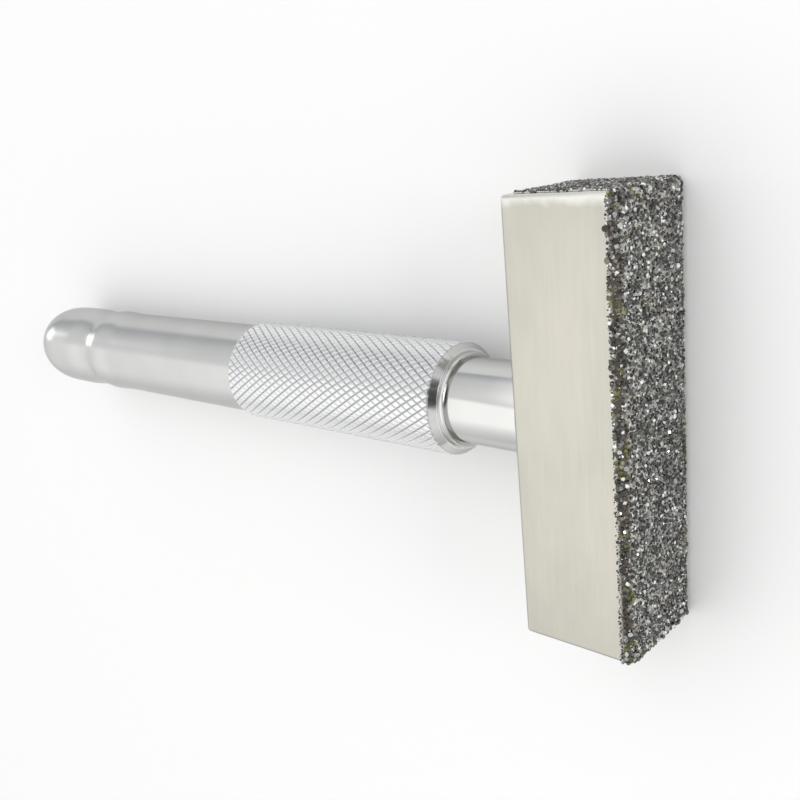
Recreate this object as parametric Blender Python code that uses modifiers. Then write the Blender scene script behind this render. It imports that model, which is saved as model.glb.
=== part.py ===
"""T-shaped hand dresser for grinding wheels: a diamond-coated steel head on a turned aluminium handle.

Metres, +Z up. The tool lies on its side. +X points out of the working face along the handle's axis,
Y runs along the head, and the origin is the centre of the working face.
"""

import math

import bmesh
import bpy

# Head: a square steel bar, with its working side at +X
BAR_DEPTH = 0.0120
BAR_WIDTH = 0.0122
BAR_LENGTH = 0.0446
BAR_FRONT_RADIUS = 0.0011
BAR_EDGE_RADIUS = 0.0005

# Grit layer: over the front, round the long front edges and over both ends
COAT_THICKNESS = 0.00025
COAT_GAP = 0.00003
COAT_FRONT_RADIUS = 0.0012
COAT_EDGE_RADIUS = 0.0003
COAT_LIP = 0.00012
COAT_WRAP = 0.0013
COAT_SIDE_MARGIN = 0.0006
COAT_BACK_MARGIN = 0.0010

# Thread between head and handle
STUD_RADIUS = 0.0030
THREAD_PITCH = 0.0010
THREAD_DEPTH = 0.0006
THREAD_CLEARANCE = 0.00008
STUD_IN_HEAD = 0.0075
STUD_IN_NECK = 0.0080
STUD_POINT = 0.0006
BORE_END_ROOM = 0.0006
DRILL_POINT_ANGLE = math.radians(59)

# Handle, from the seat on the head backwards
SEAT_CLEARANCE = 0.00005
NECK_RADIUS = 0.00475
NECK_LENGTH = 0.00965
NECK_CHAMFER = 0.0008
COLLAR_RADIUS = 0.00525
COLLAR_LENGTH = 0.0006
COLLAR_ROUND = 0.00025
GRIP_RADIUS = 0.00635
GRIP_LENGTH = 0.0348
GRIP_CHAMFER = 0.00085
BARREL_RADIUS = 0.00588
BARREL_LENGTH = 0.0336
GROOVE_RADIUS = 0.00574
GROOVE_LENGTH = 0.0055
KNOB_RADIUS = 0.00606
KNOB_LENGTH = 0.0060
DOME_HEIGHT = 0.0090

# Facets
TURNED_STEPS = 48
BORE_STEPS = 32
THREAD_STEPS = 24
THREAD_ROWS_PER_TURN = 4
ROUND_STEPS = 4
DOME_STEPS = 8
GROOVE_STEPS = 8
MERGE_DISTANCE = 0.000001
SHARP_ANGLE = math.radians(35)

# Places worked out from the sizes above
BAR_FRONT_X = -(COAT_THICKNESS + COAT_GAP)
BAR_BACK_X = BAR_FRONT_X - BAR_DEPTH
COAT_HALF_LENGTH = BAR_LENGTH / 2 + COAT_GAP + COAT_THICKNESS
COAT_HALF_WIDTH = BAR_WIDTH / 2 + COAT_GAP + COAT_LIP
BORE_RADIUS = STUD_RADIUS + THREAD_CLEARANCE


def clear_scene():
    """Removes every object, so that the script can run again."""
    for obj in list(bpy.data.objects):
        bpy.data.objects.remove(obj, do_unlink=True)


def new_collection(name):
    """A collection under the scene's own."""
    collection = bpy.data.collections.new(name)
    bpy.context.scene.collection.children.link(collection)
    return collection


def new_material(name, colour, roughness, metallic=1.0):
    """A Principled material of one colour."""
    material = bpy.data.materials.new(name)
    material.use_nodes = True
    shader = material.node_tree.nodes["Principled BSDF"]
    shader.inputs["Base Color"].default_value = (*colour, 1.0)
    shader.inputs["Roughness"].default_value = roughness
    shader.inputs["Metallic"].default_value = metallic
    return material


def add_empty(name, collection, location=(0, 0, 0), rotation=(0, 0, 0)):
    """An empty that carries the pieces of one body."""
    empty = bpy.data.objects.new(name, None)
    empty.empty_display_size = BAR_LENGTH / 4
    empty.location = location
    empty.rotation_euler = rotation
    collection.objects.link(empty)
    return empty


def add_object(name, bm, collection, parent, material=None):
    """Makes an object of a bmesh, shaded smooth up to sharp edges."""
    mesh = bpy.data.meshes.new(name)
    bm.to_mesh(mesh)
    bm.free()
    mesh.shade_smooth()
    mesh.set_sharp_from_angle(angle=SHARP_ANGLE)
    obj = bpy.data.objects.new(name, mesh)
    if material:
        mesh.materials.append(material)
    obj.parent = parent
    collection.objects.link(obj)
    return obj


def make_cutter(obj):
    """Keeps a cutting body out of renders."""
    obj.hide_render = True
    obj.display_type = "WIRE"
    return obj


def cut(obj, cutter):
    """Takes a cutter away from an object."""
    boolean = obj.modifiers.new(f"cut_{cutter.name}", "BOOLEAN")
    boolean.operation = "DIFFERENCE"
    boolean.solver = "EXACT"
    boolean.object = cutter


def box(low, high):
    """A plain box between two corners."""
    bm = bmesh.new()
    bmesh.ops.create_cube(bm, size=1.0)
    bmesh.ops.scale(bm, vec=[b - a for a, b in zip(low, high)], verts=bm.verts)
    bmesh.ops.translate(bm, vec=[(a + b) / 2 for a, b in zip(low, high)], verts=bm.verts)
    return bm


def bevel(bm, edges, radius):
    """Rounds a set of edges."""
    bmesh.ops.bevel(
        bm,
        geom=edges,
        offset=radius,
        offset_type="OFFSET",
        affect="EDGES",
        segments=ROUND_STEPS,
        profile=0.5,
        clamp_overlap=True,
        material=-1,
    )


def rounded_bar(low, high, front_radius, edge_radius):
    """A box whose two long front edges have one radius, and all its other edges another."""
    bm = box(low, high)
    nearly = MERGE_DISTANCE
    front = [edge for edge in bm.edges if all(abs(v.co.x - high[0]) < nearly for v in edge.verts)]
    long_front = [edge for edge in front if abs(edge.verts[0].co.y - edge.verts[1].co.y) > nearly]
    bevel(bm, long_front, front_radius)
    sharp = [edge for edge in bm.edges if edge.calc_face_angle(0.0) > SHARP_ANGLE]
    bevel(bm, sharp, edge_radius)
    return bm


def turned(name, profile, steps, collection, parent, material=None):
    """Turns a profile of (radius, height) points, listed top to bottom down its outer side, about Z."""
    bm = bmesh.new()
    points = [bm.verts.new((radius, 0.0, height)) for radius, height in profile]
    for start, end in zip(points, points[1:]):
        bm.edges.new((start, end))
    obj = add_object(name, bm, collection, parent, material)
    screw = obj.modifiers.new("turn", "SCREW")
    screw.axis = "Z"
    screw.angle = math.tau
    screw.steps = steps
    screw.render_steps = steps
    screw.use_merge_vertices = True
    screw.merge_threshold = MERGE_DISTANCE
    screw.use_smooth_shade = True
    return obj


def bar_box(grow):
    """Corners of the bar's box, grown on every side."""
    half_length, half_width = BAR_LENGTH / 2 + grow, BAR_WIDTH / 2 + grow
    low = (BAR_BACK_X - grow, -half_length, -half_width)
    high = (BAR_FRONT_X + grow, half_length, half_width)
    return low, high


def head_block(parts, cutters, frame, seat, material):
    """The steel bar, with a blind hole for the stud in its back."""
    bar = rounded_bar(*bar_box(0.0), BAR_FRONT_RADIUS, BAR_EDGE_RADIUS)
    block = add_object("head_block", bar, parts, frame, material)
    depth = STUD_IN_HEAD + BORE_END_ROOM
    point = BORE_RADIUS / math.tan(DRILL_POINT_ANGLE)
    drill = [(0.0, BORE_RADIUS), (BORE_RADIUS, BORE_RADIUS), (BORE_RADIUS, -depth), (0.0, -depth - point)]
    cut(block, make_cutter(turned("head_bore", drill, BORE_STEPS, cutters, seat)))


def diamond_coat(parts, cutters, frame, material):
    """The plated grit layer: a cover for the bar's front and ends, open at its back and its plain sides."""
    low = (BAR_BACK_X + COAT_BACK_MARGIN, -COAT_HALF_LENGTH, -COAT_HALF_WIDTH)
    high = (0.0, COAT_HALF_LENGTH, COAT_HALF_WIDTH)
    cover = rounded_bar(low, high, COAT_FRONT_RADIUS, COAT_EDGE_RADIUS)
    coat = add_object("diamond_coat", cover, parts, frame, material)
    inside = rounded_bar(*bar_box(COAT_GAP), BAR_FRONT_RADIUS + COAT_GAP, BAR_EDGE_RADIUS + COAT_GAP)
    cut(coat, make_cutter(add_object("coat_inside", inside, cutters, frame)))
    window = BAR_WIDTH / 2 - COAT_SIDE_MARGIN
    for side in (-1, 1):
        reach = sorted((side * window, side * BAR_WIDTH))
        trim = box((BAR_BACK_X, -BAR_LENGTH, reach[0]), (-COAT_WRAP, BAR_LENGTH, reach[1]))
        name = "coat_trim_upper" if side > 0 else "coat_trim_lower"
        cut(coat, make_cutter(add_object(name, trim, cutters, frame)))


def thread_radius(angle, height, low, high):
    """Radius of the stud's thread at a place, with a point turned on each end."""
    phase = (height / THREAD_PITCH - angle / math.tau) % 1.0
    groove = THREAD_DEPTH * abs(2.0 * phase - 1.0)
    from_end = min(height - low, high - height)
    return min(STUD_RADIUS - groove, STUD_RADIUS - STUD_POINT + from_end)


def stud(parts, seat, material):
    """The threaded stud: a rod whose points follow a helical thread."""
    low, high = -STUD_IN_HEAD, SEAT_CLEARANCE + STUD_IN_NECK
    rows = round((high - low) / THREAD_PITCH * THREAD_ROWS_PER_TURN)
    rod = bmesh.new()
    bmesh.ops.create_cone(
        rod,
        cap_ends=True,
        segments=THREAD_STEPS,
        radius1=STUD_RADIUS,
        radius2=STUD_RADIUS,
        depth=high - low,
    )
    bmesh.ops.translate(rod, vec=(0.0, 0.0, (high + low) / 2), verts=rod.verts)
    upright = [edge for edge in rod.edges if abs(edge.verts[0].co.z - edge.verts[1].co.z) > MERGE_DISTANCE]
    bmesh.ops.subdivide_edges(rod, edges=upright, cuts=rows - 1)
    for vert in rod.verts:
        angle = math.atan2(vert.co.y, vert.co.x)
        radius = thread_radius(angle, vert.co.z, low, high)
        vert.co.xy = radius * math.cos(angle), radius * math.sin(angle)
    add_object("stud", rod, parts, seat, material)


def handle_profile():
    """The handle's half section, from the tip of its dome to its seat and into the stud's bore."""
    neck_start = SEAT_CLEARANCE
    collar_start = neck_start + NECK_LENGTH
    grip_start = collar_start + COLLAR_LENGTH
    barrel_start = grip_start + GRIP_LENGTH
    groove_start = barrel_start + BARREL_LENGTH
    knob_start = groove_start + GROOVE_LENGTH
    dome_start = knob_start + KNOB_LENGTH

    points = []
    for step in range(DOME_STEPS + 1):
        angle = math.pi / 2 * step / DOME_STEPS
        points.append((KNOB_RADIUS * math.sin(angle), dome_start + DOME_HEIGHT * math.cos(angle)))
    for step in range(GROOVE_STEPS + 1):
        part = step / GROOVE_STEPS
        shoulder = KNOB_RADIUS if part < 0.5 else BARREL_RADIUS
        swell = (1.0 + math.cos(math.tau * part)) / 2.0
        radius = GROOVE_RADIUS + (shoulder - GROOVE_RADIUS) * swell
        points.append((radius, knob_start - GROOVE_LENGTH * part))
    points += [
        (BARREL_RADIUS, barrel_start),
        (GRIP_RADIUS, barrel_start - (GRIP_RADIUS - BARREL_RADIUS)),
        (GRIP_RADIUS, grip_start + GRIP_CHAMFER),
        (GRIP_RADIUS - GRIP_CHAMFER, grip_start),
        (COLLAR_RADIUS, grip_start),
    ]
    for step in range(ROUND_STEPS + 1):
        angle = math.pi / 2 * step / ROUND_STEPS
        radius = COLLAR_RADIUS - COLLAR_ROUND * (1.0 - math.cos(angle))
        points.append((radius, collar_start + COLLAR_ROUND * (1.0 - math.sin(angle))))
    points += [
        (NECK_RADIUS, collar_start),
        (NECK_RADIUS, neck_start + NECK_CHAMFER),
        (NECK_RADIUS - NECK_CHAMFER, neck_start),
        (BORE_RADIUS, neck_start),
    ]
    bore_end = neck_start + STUD_IN_NECK + BORE_END_ROOM
    points += [(BORE_RADIUS, bore_end), (0.0, bore_end + BORE_RADIUS / math.tan(DRILL_POINT_ANGLE))]
    return points


def main():
    """Builds the dresser."""
    clear_scene()
    parts = new_collection("wheel_dresser")
    cutters = new_collection("cutters")
    nickel = new_material("nickel_plate", (0.67, 0.64, 0.57), 0.36)
    grit = new_material("diamond_grit", (0.30, 0.30, 0.28), 0.55)
    aluminium = new_material("aluminium", (0.77, 0.78, 0.78), 0.28)
    steel = new_material("stud_steel", (0.42, 0.42, 0.43), 0.35)

    head_frame = add_empty("head_frame", parts)
    handle_seat = add_empty("handle_seat", parts, (BAR_BACK_X, 0.0, 0.0), (0.0, -math.pi / 2, 0.0))
    head_block(parts, cutters, head_frame, handle_seat, nickel)
    diamond_coat(parts, cutters, head_frame, grit)
    stud(parts, handle_seat, steel)
    turned("handle", handle_profile(), TURNED_STEPS, parts, handle_seat, aluminium)


main()
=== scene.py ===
"""Looks of a T-shaped hand dresser for grinding wheels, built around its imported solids.

The tool lies on its side on a pale floor. +X points out of the working face along the handle's axis, Y
runs along the head and Z is up. Sizes are in metres.
"""

import logging
import math
import random
from collections.abc import Iterable, Sequence
from dataclasses import dataclass, field, fields
from enum import Enum, IntEnum
from itertools import product
from typing import ClassVar

import bmesh
import bpy
import numpy as np
from mathutils import Matrix, Vector, noise


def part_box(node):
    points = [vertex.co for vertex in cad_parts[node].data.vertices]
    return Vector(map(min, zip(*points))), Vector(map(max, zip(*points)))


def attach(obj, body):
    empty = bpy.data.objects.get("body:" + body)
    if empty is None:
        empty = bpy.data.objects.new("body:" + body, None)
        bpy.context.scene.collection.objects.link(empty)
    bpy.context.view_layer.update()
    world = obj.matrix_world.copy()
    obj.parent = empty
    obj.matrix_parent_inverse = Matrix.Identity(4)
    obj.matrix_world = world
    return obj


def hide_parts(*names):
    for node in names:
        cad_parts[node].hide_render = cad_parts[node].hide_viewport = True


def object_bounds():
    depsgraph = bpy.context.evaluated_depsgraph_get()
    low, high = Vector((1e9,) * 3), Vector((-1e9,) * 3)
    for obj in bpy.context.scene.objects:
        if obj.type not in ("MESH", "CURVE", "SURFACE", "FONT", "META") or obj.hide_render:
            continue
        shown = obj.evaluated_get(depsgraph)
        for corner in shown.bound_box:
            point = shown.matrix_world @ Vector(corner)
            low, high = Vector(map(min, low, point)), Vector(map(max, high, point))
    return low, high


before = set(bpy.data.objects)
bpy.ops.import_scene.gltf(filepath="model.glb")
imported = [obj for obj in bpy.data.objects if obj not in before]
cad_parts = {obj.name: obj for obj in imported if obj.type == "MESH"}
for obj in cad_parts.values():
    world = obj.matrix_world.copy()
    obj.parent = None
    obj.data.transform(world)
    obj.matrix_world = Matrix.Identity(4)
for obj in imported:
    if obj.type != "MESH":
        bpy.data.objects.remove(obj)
CAD_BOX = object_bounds()

LOG = logging.getLogger("wheel_dresser")

Span = tuple[float, float]
Triple = tuple[float, float, float]
Colour = tuple[float, float, float]
Tree = bpy.types.NodeTree
Node = bpy.types.Node
Socket = bpy.types.NodeSocket
NodeInput = float | Sequence[float] | Socket
Mesh = bmesh.types.BMesh
Edge = bmesh.types.BMEdge
Vert = bmesh.types.BMVert

MERGE_DISTANCE = 0.000001
RING_REACH = MERGE_DISTANCE * 5
SHARP_ANGLE = math.radians(32)
TURN_TO_X = Matrix.Rotation(math.pi / 2, 4, "Y")
UNIT: Span = (0.0, 1.0)
WHITE: Colour = (1.0, 1.0, 1.0)
ACROSS_HANDLE: Triple = (0.0, 1.0, 1.0)
MIRROR_GLOSS = 2.0
# Places are rounded to a tenth of a micrometre where they are sorted.
ORDER_DIGITS = 7
# The weights of a face's X, Y and Z where a crystal's faces are sorted.
FACE_ORDER = Vector((1.0, 10.0, 100.0))


class Body(Enum):
    """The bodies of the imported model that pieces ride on."""

    HEAD = "head"
    STUD = "stud"
    HANDLE = "handle"


class Slot(Enum):
    """The record's material slots."""

    NICKEL = "nickel_plate"
    GRIT = "diamond_grit"
    STEEL = "stud_steel"
    ALUMINIUM = "aluminium"


class Stone(Enum):
    """Kinds of crystal: the colour, and how far its facets differ from each other."""

    GREY = ((0.088, 0.089, 0.083), 1.35)
    OLIVE = ((0.120, 0.120, 0.046), 0.45)
    BROWN = ((0.056, 0.048, 0.038), 1.0)


class GritZone(Enum):
    """Parts of the head that carry grains."""

    FRONT = "front"
    EDGE = "edge"
    END = "end"
    RIM = "rim"


class Axis(IntEnum):
    """The axes by which edges are picked."""

    X = 0
    Y = 1


class MixSocket(IntEnum):
    """Numbers of a Mix node's sockets for colours, whose names it uses more than once."""

    FACTOR = 0
    FIRST = 6
    SECOND = 7
    RESULT = 2


def rgba(colour: Colour) -> tuple[float, float, float, float]:
    """A colour with full alpha."""
    return (*colour, 1.0)


def lighter(colour: Colour, factor: float) -> Colour:
    """A colour times a factor, up to white."""
    return tuple(min(1.0, part * factor) for part in colour)


def feed(tree: Tree, node: Node, inputs: dict[str | int, NodeInput]) -> None:
    """Gives a node's inputs their values or their sources.

    Args:
        tree: The node's tree.
        node: The node.
        inputs: Values or source sockets, by the name or number of the input.
    """
    for name, value in inputs.items():
        if isinstance(value, Socket):
            tree.links.new(value, node.inputs[name])
        else:
            node.inputs[name].default_value = value


def add_node(
    tree: Tree,
    kind: str,
    inputs: dict[str | int, NodeInput] | None = None,
    **settings: object,
) -> Node:
    """Adds a node to a tree.

    Args:
        tree: The tree that takes the node.
        kind: The node's type.
        inputs: Values or source sockets, by the name or number of the input.
        settings: Attributes of the node.

    Returns:
        The new node.
    """
    node = tree.nodes.new(kind)
    for name, value in settings.items():
        setattr(node, name, value)
    feed(tree, node, inputs or {})
    return node


def math_node(tree: Tree, operation: str, *values: NodeInput) -> Socket:
    """Adds a Math node.

    Args:
        tree: The tree that takes the node.
        operation: The node's operation.
        values: Its inputs, in order.

    Returns:
        The node's output.
    """
    node = add_node(tree, "ShaderNodeMath", dict(enumerate(values)), operation=operation)
    return node.outputs["Value"]


def vector_node(tree: Tree, operation: str, *values: NodeInput) -> Socket:
    """Adds a Vector Math node.

    Args:
        tree: The tree that takes the node.
        operation: The node's operation.
        values: Its inputs, in order.

    Returns:
        The node's output, a number for a length or a dot product and otherwise a vector.
    """
    node = add_node(tree, "ShaderNodeVectorMath", dict(enumerate(values)), operation=operation)
    return node.outputs["Value" if operation in ("LENGTH", "DOT_PRODUCT") else "Vector"]


def map_range(
    tree: Tree,
    value: Socket,
    source: tuple[NodeInput, NodeInput],
    target: Span = UNIT,
) -> Socket:
    """Adds a clamped Map Range node.

    Args:
        tree: The tree that takes the node.
        value: The value to map.
        source: Its lowest and highest value.
        target: What these become.

    Returns:
        The mapped value.
    """
    names = ("Value", "From Min", "From Max", "To Min", "To Max")
    inputs = dict(zip(names, (value, *source, *target)))
    return add_node(tree, "ShaderNodeMapRange", inputs, clamp=True).outputs["Result"]


def mix_colour(
    tree: Tree,
    factor: NodeInput,
    first: NodeInput,
    second: NodeInput,
    blend: str = "MIX",
) -> Socket:
    """Adds a colour Mix node.

    Args:
        tree: The tree that takes the node.
        factor: The share of the second colour.
        first: The first colour.
        second: The second colour.
        blend: The way in which they mix.

    Returns:
        The mixed colour.
    """
    inputs = {MixSocket.FACTOR: factor, MixSocket.FIRST: first, MixSocket.SECOND: second}
    node = add_node(tree, "ShaderNodeMix", inputs, data_type="RGBA", blend_type=blend)
    return node.outputs[MixSocket.RESULT]


def weighted_sum(tree: Tree, *parts: tuple[Socket, float]) -> Socket:
    """Adds values, each with its weight.

    Args:
        tree: The tree that takes the nodes.
        parts: Pairs of a value and its weight.

    Returns:
        The sum.
    """
    total: NodeInput = 0.0
    for value, weight in parts:
        total = math_node(tree, "MULTIPLY_ADD", value, weight, total)
    return total


def object_place(tree: Tree) -> Socket:
    """The place on the surface, in Object coordinates."""
    return add_node(tree, "ShaderNodeTexCoord").outputs["Object"]


def split_place(tree: Tree, place: Socket) -> Sequence[Socket]:
    """The X, Y and Z of a place."""
    return add_node(tree, "ShaderNodeSeparateXYZ", {0: place}).outputs


@dataclass(frozen=True)
class SurfaceEffect:
    """An effect that finishes share: one shader node group, and one finish's values for its inputs."""

    group_name: ClassVar[str] = "effect"
    output: ClassVar[str] = "Mask"

    @classmethod
    def labels(cls) -> dict[str, str]:
        """The name of the group's input for each field."""
        return {part.name: part.name.replace("_", " ").capitalize() for part in fields(cls)}

    @classmethod
    def group(cls) -> Tree:
        """Makes the node group the first time.

        Returns:
            The group's tree.
        """
        if cls.group_name in bpy.data.node_groups:
            return bpy.data.node_groups[cls.group_name]
        tree = bpy.data.node_groups.new(cls.group_name, "ShaderNodeTree")
        for part in fields(cls):
            kind = "NodeSocketFloat" if part.type is float else "NodeSocketVector"
            tree.interface.new_socket(cls.labels()[part.name], in_out="INPUT", socket_type=kind)
        tree.interface.new_socket(cls.output, in_out="OUTPUT", socket_type="NodeSocketFloat")
        source = add_node(tree, "NodeGroupInput")
        add_node(tree, "NodeGroupOutput", {0: cls.build(tree, source)})
        return tree

    @classmethod
    def build(cls, tree: Tree, source: Node) -> Socket:
        """Fills the group.

        Args:
            tree: The group's own tree.
            source: Its input node.

        Returns:
            The value that the group puts out.
        """
        raise NotImplementedError

    def place(self, tree: Tree) -> Socket:
        """Places the effect in a material, with its values.

        Args:
            tree: The material's tree.

        Returns:
            The effect's output.
        """
        inputs = {label: getattr(self, name) for name, label in self.labels().items()}
        return add_node(tree, "ShaderNodeGroup", inputs, node_tree=self.group()).outputs[0]


@dataclass(frozen=True)
class StretchedGrain(SurfaceEffect):
    """Noise on Object coordinates that is stretched into streaks, lines or clouds."""

    group_name: ClassVar[str] = "stretched_grain"
    output: ClassVar[str] = "Grain"
    cells_per_metre: Triple
    detail: float
    low: float = 0.3
    high: float = 0.7

    @classmethod
    def build(cls, tree: Tree, source: Node) -> Socket:
        """Scales the place by cells per metre and ranges the noise from 0 to 1.

        Args:
            tree: The group's own tree.
            source: Its input node.

        Returns:
            The grain.
        """
        values = source.outputs
        scaled = vector_node(tree, "MULTIPLY", object_place(tree), values["Cells per metre"])
        inputs = {"Vector": scaled, "Scale": 1.0, "Detail": values["Detail"]}
        grain = add_node(tree, "ShaderNodeTexNoise", inputs).outputs["Fac"]
        return map_range(tree, grain, (values["Low"], values["High"]))


@dataclass(frozen=True)
class EdgeWear(SurfaceEffect):
    """A mask of the raised edges of a piece, broken up by noise."""

    group_name: ClassVar[str] = "edge_wear"
    output: ClassVar[str] = "Wear"
    patch_detail: ClassVar[float] = 3.0
    patch_limits: ClassVar[Span] = (0.35, 0.60)
    patch_levels: ClassVar[Span] = (0.25, 1.0)
    low: float
    high: float
    cells_per_metre: float

    @classmethod
    def build(cls, tree: Tree, source: Node) -> Socket:
        """Takes the mesh's pointiness between two limits, times a patchy noise.

        Args:
            tree: The group's own tree.
            source: Its input node.

        Returns:
            The mask.
        """
        values = source.outputs
        sharp = add_node(tree, "ShaderNodeNewGeometry").outputs["Pointiness"]
        edge = map_range(tree, sharp, (values["Low"], values["High"]))
        inputs = {
            "Vector": object_place(tree),
            "Scale": values["Cells per metre"],
            "Detail": cls.patch_detail,
        }
        patches = add_node(tree, "ShaderNodeTexNoise", inputs).outputs["Fac"]
        broken = map_range(tree, patches, cls.patch_limits, cls.patch_levels)
        return math_node(tree, "MULTIPLY", edge, broken)


@dataclass(frozen=True)
class Specks(SurfaceEffect):
    """A mask of small scattered dots, such as pits and specks of dirt."""

    group_name: ClassVar[str] = "specks"
    output: ClassVar[str] = "Specks"
    solid_part: ClassVar[float] = 0.5
    cells_per_metre: float
    radius: float
    share: float

    @classmethod
    def build(cls, tree: Tree, source: Node) -> Socket:
        """Keeps the middle of a share of the cells of a Voronoi pattern.

        Args:
            tree: The group's own tree.
            source: Its input node.

        Returns:
            The mask.
        """
        values = source.outputs
        inputs = {"Vector": object_place(tree), "Scale": values["Cells per metre"]}
        cells = add_node(tree, "ShaderNodeTexVoronoi", inputs, feature="F1")
        chance = add_node(tree, "ShaderNodeSeparateColor", {0: cells.outputs["Color"]}).outputs[0]
        kept = math_node(tree, "LESS_THAN", chance, values["Share"])
        inner = math_node(tree, "MULTIPLY", values["Radius"], cls.solid_part)
        dot = map_range(tree, cells.outputs["Distance"], (inner, values["Radius"]), (1.0, 0.0))
        return math_node(tree, "MULTIPLY", dot, kept)


@dataclass(frozen=True)
class Finish:
    """A surface finish: a Principled material and what varies over it."""

    name: str
    colour: Colour
    roughness: float
    metallic: float = 1.0
    gloss_spread: Span = (0.0, 0.0)

    def material(self) -> bpy.types.Material:
        """Makes the material.

        Returns:
            The material, with its nodes.
        """
        material = bpy.data.materials.new(self.name)
        material.use_nodes = True
        tree = material.node_tree
        shader = tree.nodes["Principled BSDF"]
        plain = {"Base Color": rgba(self.colour), "Roughness": self.roughness, "Metallic": self.metallic}
        feed(tree, shader, plain)
        feed(tree, shader, self.dress(tree))
        return material

    def dress(self, tree: Tree) -> dict[str, NodeInput]:
        """Makes what varies over the surface.

        Args:
            tree: The material's tree.

        Returns:
            Values and sources for the Principled shader's inputs.
        """
        raise NotImplementedError

    def vary_roughness(self, tree: Tree, value: Socket) -> Socket:
        """The roughness, moved over its spread by a value from 0 to 1."""
        return map_range(tree, value, UNIT, tuple(self.roughness + part for part in self.gloss_spread))

    @staticmethod
    def bump(tree: Tree, height: Socket, distance: float) -> Socket:
        """A normal from a height of 0 to 1, where 1 stands for a distance in metres."""
        return add_node(tree, "ShaderNodeBump", {"Height": height, "Distance": distance}).outputs["Normal"]


@dataclass(frozen=True)
class SatinNickel(Finish):
    """Warm nickel plate on a ground bar, with faint lines along the head and a few dark pits."""

    gloss_spread: Span = (-0.07, 0.07)
    lines: StretchedGrain = StretchedGrain((5200.0, 160.0, 5200.0), detail=3.0)
    clouds: StretchedGrain = StretchedGrain((130.0, 60.0, 130.0), detail=4.0)
    waves: StretchedGrain = StretchedGrain((650.0, 450.0, 650.0), detail=1.0, low=0.2, high=0.8)
    pits: Specks = Specks(cells_per_metre=210.0, radius=0.07, share=0.10)
    line_cloud_gloss: Span = (0.6, 0.4)
    line_wave_height: Span = (0.2, 0.8)
    wave_height: float = 0.000016
    shade: Colour = (0.475, 0.460, 0.412)
    # Painted shade: a thin dark line along the bar's rounded edges.
    painted_rim_line: Colour = (0.33, 0.32, 0.29)
    pit_colour: Colour = (0.10, 0.09, 0.08)
    middle: Triple = (-0.00628, 0.0, 0.0)
    half_size: Triple = (0.0060, 0.0223, 0.0061)
    edge_reach: Span = (0.00036, 0.00016)
    # Painted highlight: a lighter, glossier band with a rippled edge along the bar's upper end.
    painted_highlight_band: Span = (0.0215, 0.0223)
    highlight_ripple: float = 0.0009
    painted_highlight_colour: Colour = (0.66, 0.65, 0.61)
    highlight_gloss: float = 0.10

    def edge_mask(self, tree: Tree) -> Socket:
        """Finds the bar's edges, where two coordinates are near their limits.

        Args:
            tree: The material's tree.

        Returns:
            1 on an edge and 0 on a flat side.
        """
        from_middle = vector_node(tree, "SUBTRACT", object_place(tree), self.middle)
        parts = split_place(tree, vector_node(tree, "ABSOLUTE", from_middle))
        near = []
        for part, half in zip(parts, self.half_size):
            limits = tuple(half - reach for reach in self.edge_reach)
            near.append((map_range(tree, part, limits), 1.0))
        return map_range(tree, weighted_sum(tree, *near), (1.0, 2.0))

    def dress(self, tree: Tree) -> dict[str, NodeInput]:
        """Clouds and grinding lines vary colour and gloss, painted shade darkens the edges, pits darken it,
        and a painted highlight lightens one end, which is glossier too.

        Args:
            tree: The material's tree.

        Returns:
            Sources for the Principled shader's inputs.
        """
        lines, clouds, waves = (grain.place(tree) for grain in (self.lines, self.clouds, self.waves))
        # The rippled band along the upper end is a painted highlight.
        along = split_place(tree, object_place(tree))["Y"]
        rippled = weighted_sum(tree, (along, 1.0), (waves, self.highlight_ripple))
        wear_and_painted_sheen = map_range(tree, rippled, self.painted_highlight_band)
        colour = mix_colour(tree, clouds, rgba(self.colour), rgba(self.shade))
        # Painted shade along the edges, then the painted highlight at the upper end, then the dark pits.
        for mask, patch in (
            (self.edge_mask(tree), self.painted_rim_line),
            (wear_and_painted_sheen, self.painted_highlight_colour),
            (self.pits.place(tree), self.pit_colour),
        ):
            colour = mix_colour(tree, mask, colour, rgba(patch))
        rough = self.vary_roughness(tree, weighted_sum(tree, *zip((lines, clouds), self.line_cloud_gloss)))
        polish = math_node(tree, "MULTIPLY", wear_and_painted_sheen, self.highlight_gloss)
        height = weighted_sum(tree, *zip((lines, waves), self.line_wave_height))
        return {
            "Base Color": colour,
            "Roughness": math_node(tree, "SUBTRACT", rough, polish),
            "Normal": self.bump(tree, height, self.wave_height),
        }


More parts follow.
